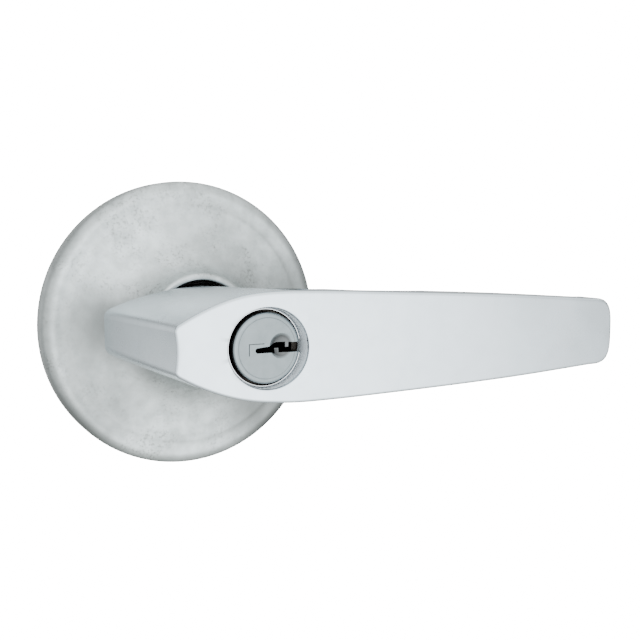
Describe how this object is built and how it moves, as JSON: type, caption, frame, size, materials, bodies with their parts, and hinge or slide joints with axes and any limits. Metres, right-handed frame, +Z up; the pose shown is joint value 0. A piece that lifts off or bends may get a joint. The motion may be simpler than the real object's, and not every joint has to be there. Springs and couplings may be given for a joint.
{
  "type": "lever handle lockset",
  "caption": "Outside half of a keyed door lever lockset: dished round rose, tapering lever with a wedge-shaped boss, key cylinder in its face, spring cage and square spindle behind.",
  "frame": {"origin": "where the spindle axis meets the outside face of the door", "axes": "+X along the lever to its tip, +Z up, -Y out of the door toward the user, +Y into the door"},
  "size_m": [0.1131, 0.1119, 0.0666],
  "materials": {
    "satin_chrome": "satin chrome plating on die-cast zinc",
    "bright_chrome": "bright chrome",
    "zinc_plated_steel": "zinc plated",
    "spring_steel": "oiled spring steel",
    "cylinder_brass": "machined",
    "nickel_plated_brass": "satin nickel plating",
    "black_nylon": "moulded"
  },
  "bodies": {
    "rose_and_cage": {"rose": "satin_chrome", "mounting_plate": "zinc_plated_steel", "spring_cage": "zinc_plated_steel", "threaded_post_left": "zinc_plated_steel", "threaded_post_right": "zinc_plated_steel", "cage_rivet_1": "zinc_plated_steel", "cage_rivet_2": "zinc_plated_steel", "cage_rivet_3": "zinc_plated_steel", "cage_rivet_4": "zinc_plated_steel", "bearing_bush": "black_nylon", "thrust_washer": "black_nylon", "return_spring": "spring_steel"},
    "lever_set": {"lever": "satin_chrome", "drive_tube": "zinc_plated_steel", "drive_disc": "zinc_plated_steel", "snap_ring": "spring_steel", "spindle": "zinc_plated_steel", "cylinder_shell": "nickel_plated_brass", "bible_cap": "cylinder_brass", "trim_ring": "bright_chrome", "catch_spring": "spring_steel", "pin_spring_1": "spring_steel", "pin_spring_2": "spring_steel", "pin_spring_3": "spring_steel", "pin_spring_4": "spring_steel", "pin_spring_5": "spring_steel"},
    "key_plug": {"plug": "nickel_plated_brass", "plug_clip": "spring_steel", "tailpiece": "zinc_plated_steel"},
    "catch": {"catch_stud": "zinc_plated_steel"},
    "bottom_pin_1": {"bottom_pin_1": "cylinder_brass"},
    "driver_pin_1": {"driver_pin_1": "cylinder_brass"},
    "bottom_pin_2": {"bottom_pin_2": "cylinder_brass"},
    "driver_pin_2": {"driver_pin_2": "cylinder_brass"},
    "bottom_pin_3": {"bottom_pin_3": "cylinder_brass"},
    "driver_pin_3": {"driver_pin_3": "cylinder_brass"},
    "bottom_pin_4": {"bottom_pin_4": "cylinder_brass"},
    "driver_pin_4": {"driver_pin_4": "cylinder_brass"},
    "bottom_pin_5": {"bottom_pin_5": "cylinder_brass"},
    "driver_pin_5": {"driver_pin_5": "cylinder_brass"}
  },
  "joints": [
    {"name": "lever_turn", "type": "hinge", "parent": "rose_and_cage", "child": "lever_set", "pos_m": [0, 0, 0], "axis": [0, 1, 0], "range_deg": [-50, 50], "stiffness_Nm_per_rad": 1.2, "deforming": ["return_spring"]},
    {"name": "key_turn", "type": "hinge", "parent": "lever_set", "child": "key_plug", "pos_m": [0, 0, 0], "axis": [0, 1, 0], "range_deg": [-90, 90]},
    {"name": "catch_press", "type": "slide", "parent": "lever_set", "child": "catch", "axis": [0, 0, 1], "range_m": [0, 0.0016], "stiffness_N_per_m": 500, "deforming": ["catch_spring"]},
    {"name": "bottom_pin_1_slide", "type": "slide", "parent": "key_plug", "child": "bottom_pin_1", "axis": [1, 0, 0], "range_m": [0, 0.003]},
    {"name": "driver_pin_1_slide", "type": "slide", "parent": "lever_set", "child": "driver_pin_1", "axis": [-1, 0, 0], "range_m": [0, 0.0012], "stiffness_N_per_m": 300, "deforming": ["pin_spring_1"]},
    {"name": "bottom_pin_2_slide", "type": "slide", "parent": "key_plug", "child": "bottom_pin_2", "axis": [1, 0, 0], "range_m": [0, 0.0018]},
    {"name": "driver_pin_2_slide", "type": "slide", "parent": "lever_set", "child": "driver_pin_2", "axis": [-1, 0, 0], "range_m": [0, 0.0012], "stiffness_N_per_m": 300, "deforming": ["pin_spring_2"]},
    {"name": "bottom_pin_3_slide", "type": "slide", "parent": "key_plug", "child": "bottom_pin_3", "axis": [1, 0, 0], "range_m": [0, 0.0024]},
    {"name": "driver_pin_3_slide", "type": "slide", "parent": "lever_set", "child": "driver_pin_3", "axis": [-1, 0, 0], "range_m": [0, 0.0012], "stiffness_N_per_m": 300, "deforming": ["pin_spring_3"]},
    {"name": "bottom_pin_4_slide", "type": "slide", "parent": "key_plug", "child": "bottom_pin_4", "axis": [1, 0, 0], "range_m": [0, 0.0012]},
    {"name": "driver_pin_4_slide", "type": "slide", "parent": "lever_set", "child": "driver_pin_4", "axis": [-1, 0, 0], "range_m": [0, 0.0012], "stiffness_N_per_m": 300, "deforming": ["pin_spring_4"]},
    {"name": "bottom_pin_5_slide", "type": "slide", "parent": "key_plug", "child": "bottom_pin_5", "axis": [1, 0, 0], "range_m": [0, 0.0021]},
    {"name": "driver_pin_5_slide", "type": "slide", "parent": "lever_set", "child": "driver_pin_5", "axis": [-1, 0, 0], "range_m": [0, 0.0012], "stiffness_N_per_m": 300, "deforming": ["pin_spring_5"]}
  ]
}
